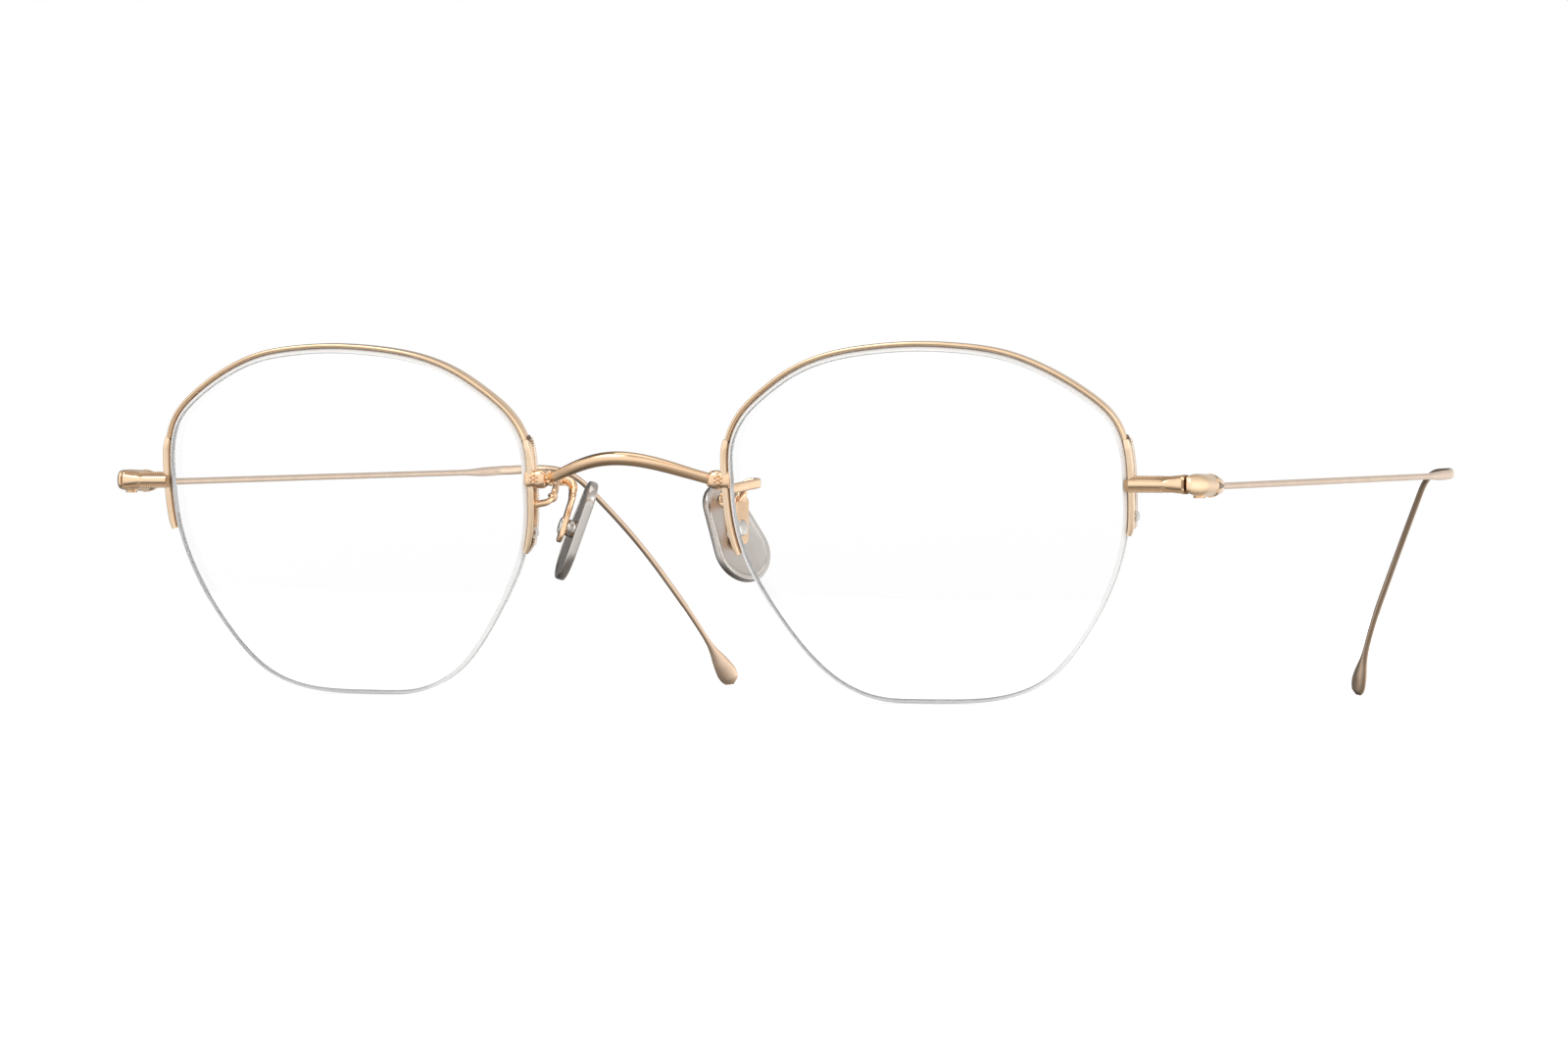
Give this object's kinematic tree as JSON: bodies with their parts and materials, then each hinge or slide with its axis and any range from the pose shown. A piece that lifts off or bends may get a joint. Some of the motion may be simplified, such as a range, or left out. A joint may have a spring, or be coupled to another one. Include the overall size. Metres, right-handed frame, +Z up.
{
  "type": "half-rim wire eyeglasses",
  "caption": "Folding half-rim wire eyeglasses with clear panto lenses held by nylon cords, an arched bridge, plate nose pads and slim temples with spoon tips.",
  "frame": {"origin": "middle of the table face, with the spectacles open and standing on both lens bottoms and both temple tips", "axes": "+X towards the wearer's left, +Y backwards along the temples, +Z up"},
  "size_m": [0.1292, 0.1304, 0.0387],
  "materials": {
    "gold": "polished pale rose gold plating",
    "screw": "plated small machine screw",
    "pad": "satin bare titanium",
    "lens": "clear, coated, polished",
    "nylon": "clear monofilament"
  },
  "bodies": {
    "front": {"bridge": "gold", "left_lens": "lens", "left_upper_rim": "gold", "left_rim_liner": "nylon", "left_lens_cord": "nylon", "left_temporal_plate": "gold", "left_nasal_plate": "gold", "left_end_piece": "gold", "left_pad_arm": "gold", "right_lens": "lens", "right_upper_rim": "gold", "right_rim_liner": "nylon", "right_lens_cord": "nylon", "right_temporal_plate": "gold", "right_nasal_plate": "gold", "right_end_piece": "gold", "right_pad_arm": "gold"},
    "left_temple": {"left_temple_head": "gold", "left_hinge_screw": "screw", "left_temple_wire": "gold"},
    "left_pad": {"left_nose_pad": "pad", "left_pad_rivet": "pad"},
    "right_temple": {"right_temple_head": "gold", "right_hinge_screw": "screw", "right_temple_wire": "gold"},
    "right_pad": {"right_nose_pad": "pad", "right_pad_rivet": "pad"}
  },
  "joints": [
    {"name": "left_temple_fold", "type": "hinge", "parent": "front", "child": "left_temple", "pos_m": [0.0634, -0.05598, 0.02357], "axis": [0, 0, 1], "range_deg": [0, 80]},
    {"name": "right_temple_fold", "type": "hinge", "parent": "front", "child": "right_temple", "pos_m": [-0.0634, -0.05598, 0.02357], "axis": [0, 0, -1], "range_deg": [0, 70]},
    {"name": "left_pad_turn", "type": "hinge", "parent": "front", "child": "left_pad", "pos_m": [0.0095, -0.05393, 0.0183], "axis": [0.8056, -0.5035, 0.3122], "range_deg": [-10, 10]},
    {"name": "right_pad_turn", "type": "hinge", "parent": "front", "child": "right_pad", "pos_m": [-0.0095, -0.05393, 0.0183], "axis": [-0.8056, -0.5035, 0.3122], "range_deg": [-10, 10]}
  ]
}
